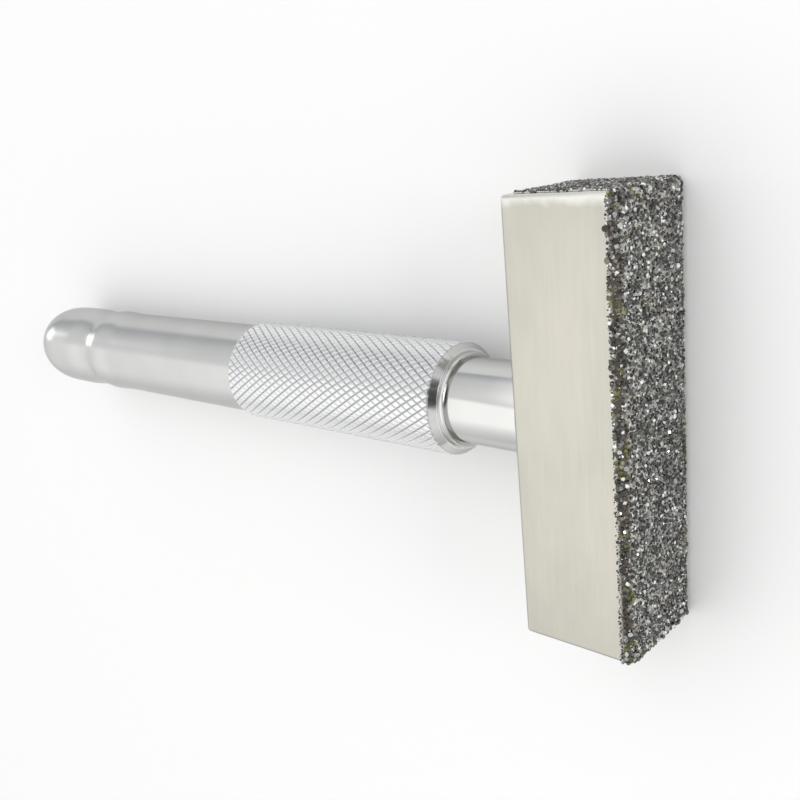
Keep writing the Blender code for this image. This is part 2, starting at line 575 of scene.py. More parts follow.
@dataclass(frozen=True)
class PlatedBond(Finish):
    """Nodular nickel between the grains, with painted shade in dark brown round the long edges."""

    gloss_spread: Span = (-0.08, 0.12)
    nodules: StretchedGrain = StretchedGrain((4200.0,) * 3, detail=3.0, low=0.25, high=0.75)
    patches: StretchedGrain = StretchedGrain((520.0,) * 3, detail=2.0, low=0.26, high=0.42)
    nodule_height: float = 0.00004
    shade: Colour = (0.40, 0.385, 0.355)
    # Painted shade: the dark brown reflection of the long rounded edges, in patches, ending before the rim
    # on the plain sides.
    painted_edge_shade: Colour = (0.105, 0.092, 0.075)
    edge_shade_side: Span = (0.0052, 0.0057)
    edge_shade_back: Span = (-0.0012, -0.0009)

    def dress(self, tree: Tree) -> dict[str, NodeInput]:
        """Small nodules vary colour and gloss and stand out a little, and painted shade darkens the long
        edges.

        Args:
            tree: The material's tree.

        Returns:
            Sources for the Principled shader's inputs.
        """
        nodules, patches = self.nodules.place(tree), self.patches.place(tree)
        toned = mix_colour(tree, nodules, rgba(self.colour), rgba(self.shade))
        parts = split_place(tree, object_place(tree))
        near_edge = map_range(tree, math_node(tree, "ABSOLUTE", parts["Z"]), self.edge_shade_side)
        before_rim = map_range(tree, parts["X"], self.edge_shade_back)
        edge_shade = math_node(tree, "MULTIPLY", math_node(tree, "MULTIPLY", near_edge, before_rim), patches)
        return {
            "Base Color": mix_colour(tree, edge_shade, toned, rgba(self.painted_edge_shade)),
            "Roughness": self.vary_roughness(tree, nodules),
            "Normal": self.bump(tree, nodules, self.nodule_height),
        }


@dataclass(frozen=True)
class DiamondGrain(Finish):
    """Dark glassy crystals, each facet with a tint and a gloss of its own."""

    gloss_spread: Span = (0.22, 0.0)
    refraction: float = 1.5
    flaws: StretchedGrain = StretchedGrain((5200.0,) * 3, detail=2.0)
    flaw_tint: Colour = (0.6, 0.6, 0.6)
    tint_name: str = "facet_tint"
    gloss_name: str = "facet_gloss"

    def dress(self, tree: Tree) -> dict[str, NodeInput]:
        """Reads each facet's tint and gloss, and clouds the tint inside the crystal.

        Args:
            tree: The material's tree.

        Returns:
            Values and sources for the Principled shader's inputs.
        """
        tint = add_node(tree, "ShaderNodeAttribute", attribute_name=self.tint_name).outputs["Color"]
        gloss = add_node(tree, "ShaderNodeAttribute", attribute_name=self.gloss_name).outputs["Fac"]
        deep = mix_colour(tree, 1.0, tint, rgba(self.flaw_tint), "MULTIPLY")
        return {
            "IOR": self.refraction,
            "Base Color": mix_colour(tree, self.flaws.place(tree), deep, tint),
            "Roughness": self.vary_roughness(tree, gloss),
            "Metallic": map_range(tree, gloss, (1.0, MIRROR_GLOSS)),
        }


@dataclass(frozen=True)
class TurnedAluminium(Finish):
    """Bright aluminium with fine rings from the lathe, duller towards the knob, with a flat shoulder
    lightened by a painted reflection.
    """

    gloss_spread: Span = (-0.01, 0.01)
    rings: StretchedGrain = StretchedGrain((2600.0, 60.0, 60.0), detail=2.0)
    clouds: StretchedGrain = StretchedGrain((170.0,) * 3, detail=4.0, low=0.35, high=0.7)
    wear: EdgeWear = EdgeWear(low=0.53, high=0.62, cells_per_metre=900.0)
    wear_factor: float = 1.10
    ring_height: float = 0.00000002
    shade: Colour = (0.577, 0.579, 0.568)
    rim_tint: Colour = (0.72, 0.72, 0.73)
    handled: Span = (-0.070, -0.024)
    handled_extra: float = 0.09
    # Painted reflection: the flat shoulder by the neck gets a pale colour, and is duller too.
    shoulder_x: float = -0.02258
    shoulder_reach: Span = (0.00002, 0.00006)
    painted_shoulder_sheen: Colour = (0.93, 0.93, 0.93)
    shoulder_extra: float = 0.15

    def dress(self, tree: Tree) -> dict[str, NodeInput]:
        """Rings vary gloss and height, rubbed edges shine, and the shoulder by the neck is dull and
        lightened by a painted reflection.

        Args:
            tree: The material's tree.

        Returns:
            Values and sources for the Principled shader's inputs.
        """
        rings = self.rings.place(tree)
        toned = mix_colour(tree, self.clouds.place(tree), rgba(self.colour), rgba(self.shade))
        wear_and_painted_sheen = mix_colour(tree, self.wear.place(tree), toned, rgba(lighter(self.colour, self.wear_factor)))
        along = split_place(tree, object_place(tree))["X"]
        from_shoulder = math_node(tree, "ABSOLUTE", math_node(tree, "SUBTRACT", along, self.shoulder_x))
        # The shoulder's ring carries the painted reflection.
        painted_shoulder_ring = map_range(tree, from_shoulder, self.shoulder_reach, (1.0, 0.0))
        rough = self.vary_roughness(tree, rings)
        handled = map_range(tree, along, self.handled, (self.handled_extra, 0.0))
        return {
            "Specular Tint": rgba(self.rim_tint),
            "Base Color": mix_colour(tree, painted_shoulder_ring, wear_and_painted_sheen, rgba(self.painted_shoulder_sheen)),
            "Roughness": weighted_sum(tree, (rough, 1.0), (handled, 1.0), (painted_shoulder_ring, self.shoulder_extra)),
            "Normal": self.bump(tree, rings, self.ring_height),
        }


@dataclass(frozen=True)
class KnurledAluminium(Finish):
    """Pressed aluminium whose crowns are dulled by hands and whose grooves are darkened by painted shade.
    """

    gloss_spread: Span = (-0.05, 0.08)
    scuffs: StretchedGrain = StretchedGrain((2600.0,) * 3, detail=3.0)
    scuff_height: float = 0.000003
    painted_groove_shade: Colour = (0.49, 0.49, 0.50)
    groove_radii: Span = (0.00616, 0.00626)

    def dress(self, tree: Tree) -> dict[str, NodeInput]:
        """Scuffs vary the gloss, and painted shade makes the grooves a little darker than the crowns.

        Args:
            tree: The material's tree.

        Returns:
            Sources for the Principled shader's inputs.
        """
        scuffs = self.scuffs.place(tree)
        across = vector_node(tree, "MULTIPLY", object_place(tree), ACROSS_HANDLE)
        # Painted shade: the deepest part of each groove is darker.
        crown = map_range(tree, vector_node(tree, "LENGTH", across), self.groove_radii)
        return {
            "Base Color": mix_colour(tree, crown, rgba(self.painted_groove_shade), rgba(self.colour)),
            "Roughness": self.vary_roughness(tree, scuffs),
            "Normal": self.bump(tree, scuffs, self.scuff_height),
        }


@dataclass(frozen=True)
class ThreadSteel(Finish):
    """Turned steel, darker in the roots of its thread."""

    gloss_spread: Span = (-0.06, 0.10)
    crest: EdgeWear = EdgeWear(low=0.47, high=0.56, cells_per_metre=1500.0)
    streaks: StretchedGrain = StretchedGrain((4000.0, 400.0, 400.0), detail=2.0)
    streak_height: float = 0.000003
    root_colour: Colour = (0.16, 0.14, 0.12)

    def dress(self, tree: Tree) -> dict[str, NodeInput]:
        """The crests of the thread are bright, its roots are dark, and streaks vary the gloss.

        Args:
            tree: The material's tree.

        Returns:
            Sources for the Principled shader's inputs.
        """
        crest, streaks = self.crest.place(tree), self.streaks.place(tree)
        return {
            "Base Color": mix_colour(tree, crest, rgba(self.root_colour), rgba(self.colour)),
            "Roughness": self.vary_roughness(tree, streaks),
            "Normal": self.bump(tree, streaks, self.streak_height),
        }


@dataclass(frozen=True)
class PaleFloor(Finish):
    """A plain pale floor that shows white around the object and keeps its shadow."""

    lift: float = 0.05

    def dress(self, tree: Tree) -> dict[str, NodeInput]:
        """Adds a little light of its own for the camera, and for what mirrors the floor.

        Args:
            tree: The material's tree.

        Returns:
            Nothing for the Principled shader, which gets a glow beside it.
        """
        path = add_node(tree, "ShaderNodeLightPath").outputs
        seen = math_node(tree, "MAXIMUM", path["Is Camera Ray"], path["Is Glossy Ray"])
        seen = math_node(tree, "MAXIMUM", seen, path["Is Transmission Ray"])
        strength = math_node(tree, "MULTIPLY", seen, self.lift)
        glow = add_node(tree, "ShaderNodeEmission", {"Strength": strength})
        plain = tree.nodes["Principled BSDF"]
        both = add_node(tree, "ShaderNodeAddShader", {0: plain.outputs[0], 1: glow.outputs[0]})
        feed(tree, tree.nodes["Material Output"], {"Surface": both.outputs[0]})
        return {}


def order(place: Vector) -> Triple:
    """A sorting key that stays the same from run to run."""
    return tuple(round(part, ORDER_DIGITS) for part in place)


def move_to(verts: Iterable[Vert], x: float, radius: float) -> None:
    """Moves vertices to one place along the handle's axis and one distance from it.

    Args:
        verts: The vertices.
        x: Their new place along the axis.
        radius: Their new distance from the axis.
    """
    for vert in verts:
        across = Vector((0.0, vert.co.y, vert.co.z)).normalized() * radius
        vert.co = Vector((x, across.y, across.z))


def edges_at(edges: Iterable[Edge], x: float, reach: float) -> list[Edge]:
    """The edges that lie near one plane across the handle's axis."""
    return [edge for edge in edges if all(abs(vert.co.x - x) < reach for vert in edge.verts)]


def open_edges(bm: Mesh) -> list[Edge]:
    """The edges with a face on one side only."""
    return [edge for edge in bm.edges if edge.is_boundary]


def inner_edges(bm: Mesh) -> list[Edge]:
    """The edges with a face on both sides."""
    return [edge for edge in bm.edges if not edge.is_boundary]


def long_edges(edges: Iterable[Edge], axis: Axis) -> list[Edge]:
    """The edges that run along an axis."""
    return [edge for edge in edges if abs(edge.verts[0].co[axis] - edge.verts[1].co[axis]) > MERGE_DISTANCE]


def cut(bm: Mesh, place: Triple, normal: Triple, clear: bool) -> None:
    """Cuts a mesh through along a plane.

    Args:
        bm: The mesh.
        place: A point on the plane.
        normal: The plane's direction.
        clear: Whether what lies on that side goes.
    """
    geom = bm.verts[:] + bm.edges[:] + bm.faces[:]
    bmesh.ops.bisect_plane(bm, geom=geom, plane_co=place, plane_no=normal, clear_outer=clear)


def extrude(bm: Mesh, edges: Sequence[Edge]) -> list[Vert]:
    """Extrudes edges into walls, and returns the new vertices where they started."""
    walls = bmesh.ops.extrude_edge_only(bm, edges=edges)
    return [item for item in walls["geom"] if isinstance(item, Vert)]


def bevel(
    bm: Mesh,
    geom: Sequence[Edge] | Sequence[Vert],
    radius: float,
    segments: int,
    affect: str = "EDGES",
) -> None:
    """Rounds edges or corners.

    Args:
        bm: The mesh.
        geom: The edges or vertices to round.
        radius: The size of the rounding.
        segments: Its number of steps.
        affect: EDGES or VERTICES.
    """
    bmesh.ops.bevel(
        bm,
        geom=list(geom),
        offset=radius,
        offset_type="OFFSET",
        affect=affect,
        segments=segments,
        profile=0.5,
        clamp_overlap=True,
        material=-1,
    )


@dataclass(frozen=True)
class BarForm:
    """How the head's square bar is rounded."""

    front_radius: float = 0.0011
    edge_radius: float = 0.0004
    front_steps: int = 10
    edge_steps: int = 6

    def side_height(self, x: float, grow: float = 0.0) -> float:
        """Height of the bar's upper side at a place along X, past its rounded front edge.

        Args:
            x: The place.
            grow: How far the surface stands off the bar's own.

        Returns:
            The height above the middle of the bar.
        """
        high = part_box("head_block")[1]
        past = max(0.0, x - (high.x - self.front_radius))
        return high.z - self.front_radius + math.sqrt((self.front_radius + grow) ** 2 - past**2)

    def mesh(self, grow: float = 0.0) -> Mesh:
        """Makes the bar, grown outwards on every side.

        Args:
            grow: How far its surface stands off the bar's own.

        Returns:
            The closed bar.
        """
        low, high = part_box("head_block")
        centre, size = (low + high) / 2, high - low + Vector((2 * grow,) * 3)
        bm = bmesh.new()
        bmesh.ops.create_cube(bm, size=1.0)
        bmesh.ops.scale(bm, vec=size, verts=bm.verts)
        bmesh.ops.translate(bm, vec=centre, verts=bm.verts)
        front = edges_at(bm.edges, high.x + grow, MERGE_DISTANCE)
        bevel(bm, long_edges(front, Axis.Y), self.front_radius + grow, self.front_steps)
        sharp = [edge for edge in bm.edges if edge.calc_face_angle(0.0) > SHARP_ANGLE]
        bevel(bm, sharp, self.edge_radius + grow, self.edge_steps)
        return bm


@dataclass(frozen=True)
class Station:
    """A corner of a turned profile: its distance from the seat, its radius and its rounding."""

    along: float
    radius: float
    rounding: float = 0.0


def ease(part: float) -> float:
    """A soft rise from 0, where the part is 0, to 1, where it is 1 or -1."""
    return (1.0 - math.cos(math.pi * part)) / 2


def lathe(stations: Sequence[Station], seat_x: float, steps: int, round_steps: int = 4) -> Mesh:
    """Turns a profile about the handle's axis.

    Args:
        stations: The profile's corners.
        seat_x: The place of the seat, from which stations are counted backwards.
        steps: Steps round the axis.
        round_steps: Steps round a rounded corner.

    Returns:
        The turned mesh, open where the profile ends off the axis.
    """
    bm = bmesh.new()
    verts = [bm.verts.new((seat_x - spot.along, 0.0, spot.radius)) for spot in stations]
    for start, end in zip(verts, verts[1:]):
        bm.edges.new((start, end))
    for rounding in sorted({spot.rounding for spot in stations if spot.rounding}):
        corners = [vert for vert, spot in zip(verts, stations) if spot.rounding == rounding]
        bevel(bm, corners, rounding, round_steps, "VERTICES")
    bmesh.ops.spin(
        bm,
        geom=bm.verts[:] + bm.edges[:],
        cent=(0.0, 0.0, 0.0),
        axis=(1.0, 0.0, 0.0),
        angle=math.tau,
        steps=steps,
        use_merge=True,
        use_duplicate=False,
    )
    bmesh.ops.remove_doubles(bm, verts=bm.verts, dist=MERGE_DISTANCE)
    return bm


def join(target: Mesh, source: Mesh) -> None:
    """Adds one mesh to another and frees it.

    Args:
        target: The mesh that grows.
        source: The mesh that is added.
    """
    carrier = bpy.data.meshes.new("carrier")
    source.to_mesh(carrier)
    source.free()
    target.from_mesh(carrier)
    bpy.data.meshes.remove(carrier)


def make_piece(
    name: str,
    bm: Mesh,
    finishes: Sequence[Finish],
    body: Body,
    replaced: str | None = None,
    flat: bool = False,
) -> bpy.types.Object:
    """Makes an object of a mesh and hands it to the frame.

    Args:
        name: The piece's name.
        bm: Its mesh, which is freed.
        finishes: Its finishes, in the order of its faces' material numbers.
        body: The body that it rides on.
        replaced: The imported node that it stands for.
        flat: Whether its facets stay flat.

    Returns:
        The new object.
    """
    mesh = bpy.data.meshes.new(name)
    bm.to_mesh(mesh)
    bm.free()
    if not flat:
        mesh.shade_smooth()
        mesh.set_sharp_from_angle(angle=SHARP_ANGLE)
    for finish in finishes:
        mesh.materials.append(finish.material())
    piece = bpy.data.objects.new(name, mesh)
    bpy.context.scene.collection.objects.link(piece)
    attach(piece, body.value)
    if replaced:
        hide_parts(replaced)
    mesh.calc_loop_triangles()
    LOG.info("%s: %d triangles on body %s", name, len(mesh.loop_triangles), body.value)
    return piece


class Skin(IntEnum):
    """The material numbers of the handle's faces."""

    PLAIN = 0
    KNURLED = 1


@dataclass
class Handle:
    """The turned aluminium handle, with its knurled grip."""

    finish: Finish
    knurl_finish: Finish
    neck_radius: float = 0.00475
    neck_length: float = 0.00965
    neck_chamfer: float = 0.0008
    collar_radius: float = 0.00525
    collar_length: float = 0.0006
    collar_round: float = 0.00025
    grip_radius: float = 0.00635
    grip_length: float = 0.0348
    grip_chamfer: float = 0.00085
    barrel_radius: float = 0.00585
    barrel_length: float = 0.0336
    lip_height: float = 0.00018
    lip_length: float = 0.0045
    lip_steps: int = 12
    groove_radius: float = 0.00576
    groove_fall: float = 0.00275
    groove_rise: float = 0.0056
    knob_radius: float = 0.00606
    knob_length: float = 0.00315
    dome_height: float = 0.0088
    bore_radius: float = 0.00308
    bore_depth: float = 0.0086
    bore_point: float = 0.00185
    edge_break: float = 0.00006
    seam: float = 0.00012
    straight_end: float = 0.0006
    dome_power: float = 2.4
    knurl_starts: int = 42
    knurl_pitch: float = 0.00153
    knurl_depth: float = 0.00020
    knurl_crown: float = 0.00006
    knurl_groove: float = 0.00023
    knurl_spare_rows: int = 2
    turned_steps: int = 168
    dome_steps: int = 28
    groove_steps: int = 14
    seat_x: float = field(init=False)

    def __post_init__(self) -> None:
        """Takes the seat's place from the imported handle."""
        self.seat_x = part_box("handle")[1].x

    @property
    def grip_start(self) -> float:
        """Distance from the seat to the knurl's near end."""
        return self.neck_length + self.collar_length

    @property
    def barrel_start(self) -> float:
        """Distance from the seat to the knurl's far end."""
        return self.grip_start + self.grip_length

    def neck_profile(self) -> list[Station]:
        """Lays out the neck.

        Returns:
            Corners from the stud's bore over the neck and collar to the knurl's near end.
        """
        collar = self.neck_length
        return [
            Station(self.bore_depth + self.bore_point, 0.0),
            Station(self.bore_depth, self.bore_radius),
            Station(0.0, self.bore_radius),
            Station(0.0, self.neck_radius - self.neck_chamfer, self.edge_break),
            Station(self.neck_chamfer, self.neck_radius, self.edge_break),
            Station(collar, self.neck_radius),
            Station(collar, self.collar_radius, self.collar_round),
            Station(self.grip_start, self.collar_radius),
            Station(self.grip_start, self.grip_radius - self.grip_chamfer - self.seam),
        ]

    def barrel_profile(self) -> list[Station]:
        """Lays out the barrel and the knob.

        Returns:
            Corners from the knurl's far end over the barrel, its lip, the groove and the knob to the tip.
        """
        groove = self.barrel_start + self.barrel_length
        floor = groove + self.groove_fall
        dome = floor + self.groove_rise + self.knob_length
        lip = groove - self.lip_length
        starts = (self.barrel_start + part for part in (self.seam, self.straight_end))
        stations = [Station(along, self.barrel_radius) for along in (*starts, lip - self.straight_end)]
        for step in range(self.lip_steps):
            part = step / self.lip_steps
            rise = self.lip_height * ease(part)
            stations.append(Station(lip + self.lip_length * part, self.barrel_radius + rise))
        for step in range(-self.groove_steps, self.groove_steps + 1):
            part = step / self.groove_steps
            reach = self.groove_fall if part < 0.0 else self.groove_rise
            shoulder = self.barrel_radius + self.lip_height if part < 0.0 else self.knob_radius
            rise = (shoulder - self.groove_radius) * ease(part)
            stations.append(Station(floor + reach * part, self.groove_radius + rise))
        for step in range(self.dome_steps + 1):
            angle = math.pi / 2 * step / self.dome_steps
            radius = self.knob_radius * max(0.0, math.cos(angle)) ** (2.0 / self.dome_power)
            along = self.dome_height * math.sin(angle) ** (2.0 / self.dome_power)
            stations.append(Station(dome + along, 0.0 if step == self.dome_steps else radius))
        return stations

    def knurl(self) -> Mesh:
        """Cuts crossing helical grooves into a sleeve.

        Returns:
            The sleeve, open at both ends and longer than the grip.
        """
        root = self.grip_radius - self.knurl_depth
        rows = math.ceil(self.grip_length / self.knurl_pitch) + self.knurl_spare_rows
        sleeve = bmesh.new()
        bmesh.ops.create_cone(
            sleeve,
            cap_ends=False,
            segments=self.knurl_starts,
            radius1=root,
            radius2=root,
            depth=rows * self.knurl_pitch,
            matrix=TURN_TO_X,
        )
        bmesh.ops.subdivide_edges(sleeve, edges=inner_edges(sleeve), cuts=rows - 1)
        grid = inner_edges(sleeve)
        bmesh.ops.poke(sleeve, faces=sleeve.faces)
        bmesh.ops.dissolve_edges(sleeve, edges=grid, use_verts=False, use_face_split=False)
        for vert in sleeve.verts:
            move_to([vert], vert.co.x, root)
        bmesh.ops.recalc_face_normals(sleeve, faces=sleeve.faces)
        diamonds = [face for face in sleeve.faces if len(face.verts) == 4]
        bmesh.ops.inset_individual(
            sleeve,
            faces=diamonds,
            thickness=self.knurl_groove / 2,
            depth=self.knurl_depth - self.knurl_crown,
            use_even_offset=True,
        )
        crowns = bmesh.ops.poke(sleeve, faces=diamonds)
        for vert in crowns["verts"]:
            move_to([vert], vert.co.x, self.grip_radius)
        for face in sleeve.faces:
            face.material_index = Skin.KNURLED
        middle = self.seat_x - self.grip_start - self.grip_length / 2
        bmesh.ops.translate(sleeve, vec=(middle, 0.0, 0.0), verts=sleeve.verts)
        return sleeve

    def trim_knurl(self, sleeve: Mesh, along: float, outwards: float, inner: float) -> None:
        """Cuts one end of the sleeve off and gives it a plain chamfer.

        Args:
            sleeve: The knurled sleeve.
            along: The end's distance from the seat.
            outwards: 1 for the end that faces the head, -1 for the other.
            inner: The radius at which the chamfer ends.
        """
        end = self.seat_x - along
        root = self.grip_radius - self.knurl_depth
        start, knee = (end - outwards * (radius - inner) for radius in (self.grip_radius, root))
        for place, clear in ((start, False), (knee, True)):
            cut(sleeve, (place, 0.0, 0.0), (outwards, 0.0, 0.0), clear)
        ring = edges_at(open_edges(sleeve), knee, RING_REACH)
        move_to({vert for edge in ring for vert in edge.verts}, knee, root)
        rim = extrude(sleeve, ring)
        move_to(rim, end, inner)
        for face in {face for vert in rim for face in vert.link_faces}:
            face.material_index = Skin.PLAIN

    def build(self) -> None:
        """Turns the handle, knurls its grip and joins both into one skin."""
        neck_ring = self.grip_radius - self.grip_chamfer
        body = self.knurl()
        self.trim_knurl(body, self.grip_start, 1.0, neck_ring)
        self.trim_knurl(body, self.barrel_start, -1.0, self.barrel_radius)
        join(body, lathe(self.neck_profile(), self.seat_x, self.turned_steps))
        join(body, lathe(self.barrel_profile(), self.seat_x, self.turned_steps))
        for along in (self.grip_start, self.barrel_start):
            rings = edges_at(open_edges(body), self.seat_x - along, 2 * self.seam)
            bmesh.ops.bridge_loops(body, edges=rings)
        bmesh.ops.recalc_face_normals(body, faces=body.faces)
        finishes = (self.finish, self.knurl_finish)
        make_piece("handle_turned", body, finishes, Body.HANDLE, "handle")


@dataclass
class HeadBlock:
    """The square plated bar, with a blind hole for the stud in its back."""

    finish: Finish
    form: BarForm
    bore_radius: float = 0.00308
    bore_depth: float = 0.0081
    bore_point: float = 0.00185
    bore_steps: int = 64

    def build(self) -> None:
        """Rounds the bar and sinks the hole."""
        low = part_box("head_block")[0]
        bar = self.form.mesh()
        back = min(bar.faces, key=lambda face: face.calc_center_median().x - face.calc_area())
        outline = list(back.edges)
        bmesh.ops.delete(bar, geom=[back], context="FACES_ONLY")
        ring = bmesh.ops.create_circle(
            bar,
            segments=self.bore_steps,
            radius=self.bore_radius,
            matrix=Matrix.Translation((low.x, 0.0, 0.0)) @ TURN_TO_X,
        )
        mouth = list({edge for vert in ring["verts"] for edge in vert.link_edges})
        bmesh.ops.triangle_fill(bar, use_beauty=True, edges=outline + mouth)
        bmesh.ops.translate(bar, vec=(self.bore_depth, 0.0, 0.0), verts=extrude(bar, mouth))
        tip = extrude(bar, open_edges(bar))
        tip_x = low.x + self.bore_depth + self.bore_point
        bmesh.ops.pointmerge(bar, verts=tip, merge_co=(tip_x, 0.0, 0.0))
        bmesh.ops.recalc_face_normals(bar, faces=bar.faces)
        make_piece("head_bar", bar, (self.finish,), Body.HEAD, "head_block")


@dataclass(frozen=True)
class Grain:
    """A crystal's seat: its place, the direction outwards, its size and its zone."""

    place: Vector
    normal: Vector
    size: float
    zone: GritZone


@dataclass
class DiamondCoat:
    """The plated layer on the head's front and ends, and the crystals that it holds."""

    bond_finish: Finish
    grain_finish: DiamondGrain
    form: BarForm
    gap: float = 0.00003
    bond_height: float = 0.00013
    wrap: float = 0.0013
    side_margin: float = 0.0008
    back_margin: float = 0.0010
    grain_size: float = 0.00041
    grain_spread: float = 0.16
    grain_spacing: float = 0.00037
    grain_flatness: float = 0.72
    grain_tries: int = 80000
    grain_stretch: Span = (0.85, 1.15)
    grain_stand: Span = (-0.10, 0.14)
    crystal_cube: float = 0.82
    crystal_cuts: Triple = (0.34, 0.42, 0.499)
    end_facing: float = 0.8
    front_facing: float = 0.95
    zone_scales: dict[GritZone, float] = field(
        default_factory=lambda: {GritZone.FRONT: 1.0, GritZone.EDGE: 1.12, GritZone.END: 0.74}
    )
    bare_rim: Span = (0.00050, 0.00008)
    bare_reach: Span = (-0.020, 0.004)
    rim_size: float = 0.00016
    rim_spacing: float = 0.00030
    rim_drift: float = 0.00006
    rim_sizes: Span = (0.6, 1.5)
    rim_strides: Span = (0.5, 1.6)
    rim_crowding: int = 2
    olive_cells: float = 300.0
    olive_limit: float = 0.13
    olive_slope: float = 5.5
    olive_share: float = 0.7
    stray_olive: float = 0.008
    # Brown is a real colour of the grit, but the large share on the edges is painted shade: the dark brown
    # reflection of the rounded edges. The ends get many brown crystals too, which makes them darker.
    brown_shares: dict[GritZone, float] = field(
        default_factory=lambda: {
            GritZone.FRONT: 0.08,
            GritZone.EDGE: 0.50,
            GritZone.END: 0.45,
            GritZone.RIM: 0.30,
        }
    )
    bright_share: float = 0.028
    bright_glints: float = 0.6
    glint_share: float = 0.04
    glint_colour: Colour = (0.95, 0.95, 0.95)
    seed: int = 7

    def skin(self, height: float, wrap: float) -> Mesh:
        """Makes the coated part of the bar's surface, grown outwards.

        Args:
            height: How far it stands off the bar.
            wrap: How far it reaches round onto the plain sides, from the working face.

        Returns:
            An open surface.
        """
        low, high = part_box("head_block")
        bm = self.form.mesh(height)
        window = high.z - self.side_margin
        cut(bm, (low.x + self.back_margin, 0.0, 0.0), (-1.0, 0.0, 0.0), True)
        cut(bm, (-wrap, 0.0, 0.0), (1.0, 0.0, 0.0), False)
        for side in (-1, 1):
            cut(bm, (0.0, 0.0, side * window), (0.0, 0.0, 1.0), False)
        centres = [(face, face.calc_center_median()) for face in bm.faces]
        bare = [face for face, centre in centres if centre.x < -wrap and abs(centre.z) > window]
        bmesh.ops.delete(bm, geom=bare, context="FACES")
        return bm

    def build_bond(self) -> None:
        """Gives the plated layer its thickness."""
        bond = self.skin(self.bond_height, self.wrap)
        bmesh.ops.recalc_face_normals(bond, faces=bond.faces)
        bmesh.ops.solidify(bond, geom=bond.faces[:], thickness=self.bond_height - self.gap)
        bmesh.ops.recalc_face_normals(bond, faces=bond.faces)
        make_piece("grit_bond", bond, (self.bond_finish,), Body.HEAD, "diamond_coat")

    def bare_at(self, y: float) -> float:
        """Width of the band along the layer's edge that only small crystals reach.

        Args:
            y: The place along the head.

        Returns:
            The width, which is less towards the upper end.
        """
        start, end = self.bare_reach
        share = min(1.0, max(0.0, (y - start) / (end - start)))
        return self.bare_rim[0] + (self.bare_rim[1] - self.bare_rim[0]) * share

    def seat_triangles(self) -> list[tuple[Vector, Vector, Vector]]:
        """Splits the surface that takes crystals into triangles.

        Returns:
            The triangles' corners, in an order that stays the same from run to run.
        """
        skin = self.skin(self.bond_height, self.wrap - min(self.bare_rim))
        bmesh.ops.recalc_face_normals(skin, faces=skin.faces)
        corners = []
        for face in skin.faces:
            ring = [vert.co.copy() for vert in face.verts]
            first = ring.index(min(ring, key=order))
            ring = ring[first:] + ring[:first]
            corners += [(ring[0], start, end) for start, end in zip(ring[1:], ring[2:])]
        skin.free()
        return sorted(corners, key=lambda spots: order(sum(spots, Vector()) / 3))

    def grains(self, draw: random.Random) -> list[Grain]:
        """Scatters crystals over the layer, no two closer than the spacing.

        Args:
            draw: The source of chance.

        Returns:
            The crystals' seats.
        """
        corners = self.seat_triangles()
        normals = [(b - a).cross(c - a).normalized() for a, b, c in corners]
        areas = [(b - a).cross(c - a).length / 2 for a, b, c in corners]
        chosen = draw.choices(range(len(areas)), weights=areas, k=self.grain_tries)
        taken: dict[tuple[int, int, int], list[Vector]] = {}
        found = []
        for number in chosen:
            a, b, c = corners[number]
            first, second = draw.random(), draw.random()
            if first + second > 1.0:
                first, second = 1.0 - first, 1.0 - second
            place = a + (b - a) * first + (c - a) * second
            zone = self.zone(normals[number])
            if zone is GritZone.EDGE and place.x < self.bare_at(place.y) - self.wrap:
                continue
            cell = tuple(int(part // self.grain_spacing) for part in place)
            scale = self.zone_scales[zone]
            clearance = self.grain_spacing * min(1.0, scale)
            near = product(*((part - 1, part, part + 1) for part in cell))
            if any((place - other).length < clearance for key in near for other in taken.get(key, ())):
                continue
            taken.setdefault(cell, []).append(place)
            size = self.grain_size * scale * draw.gauss(1.0, self.grain_spread)
            found.append(Grain(place, normals[number], size, zone))
        return found

    def rim_grains(self, draw: random.Random) -> list[Grain]:
        """Rows of small crystals along the layer's two straight edges on the plain sides.

        Args:
            draw: The source of chance.

        Returns:
            The crystals' seats.
        """
        low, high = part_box("head_block")
        found = []
        for side in (-1.0, 1.0):
            along = low.y + self.form.edge_radius
            while along < high.y - self.form.edge_radius:
                band = self.bare_at(along)
                drift = draw.gauss(0.0, self.rim_drift)
                back = -self.wrap + drift + band * draw.random() ** self.rim_crowding
                place = Vector((back, along, side * self.form.side_height(back, self.bond_height)))
                size = self.rim_size * draw.uniform(*self.rim_sizes)
                found.append(Grain(place, Vector((0.0, 0.0, side)), size, GritZone.RIM))
                stride = self.rim_spacing * draw.uniform(*self.rim_strides)
                along += stride / (1.0 + band / self.rim_spacing)
        return found

    def zone(self, normal: Vector) -> GritZone:
        """Tells the parts of the head apart.

        Args:
            normal: The direction that the surface faces.

        Returns:
            The part that faces there.
        """
        if abs(normal.y) > self.end_facing:
            return GritZone.END
        return GritZone.FRONT if normal.x > self.front_facing else GritZone.EDGE

    def stone(self, grain: Grain, draw: random.Random) -> Stone:
        """Draws a crystal's kind; the olive ones come in clusters.

        Args:
            grain: The crystal's seat.
            draw: The source of chance.

        Returns:
            Its kind.
        """
        chance = draw.random()
        limit = self.olive_limit + self.olive_slope * grain.place.y
        olive_here = noise.noise(grain.place * self.olive_cells) > limit
        if grain.zone is GritZone.EDGE and olive_here and chance < self.olive_share:
            return Stone.OLIVE
        if chance > 1.0 - self.stray_olive:
            return Stone.OLIVE
        return Stone.BROWN if chance < self.brown_shares[grain.zone] else Stone.GREY

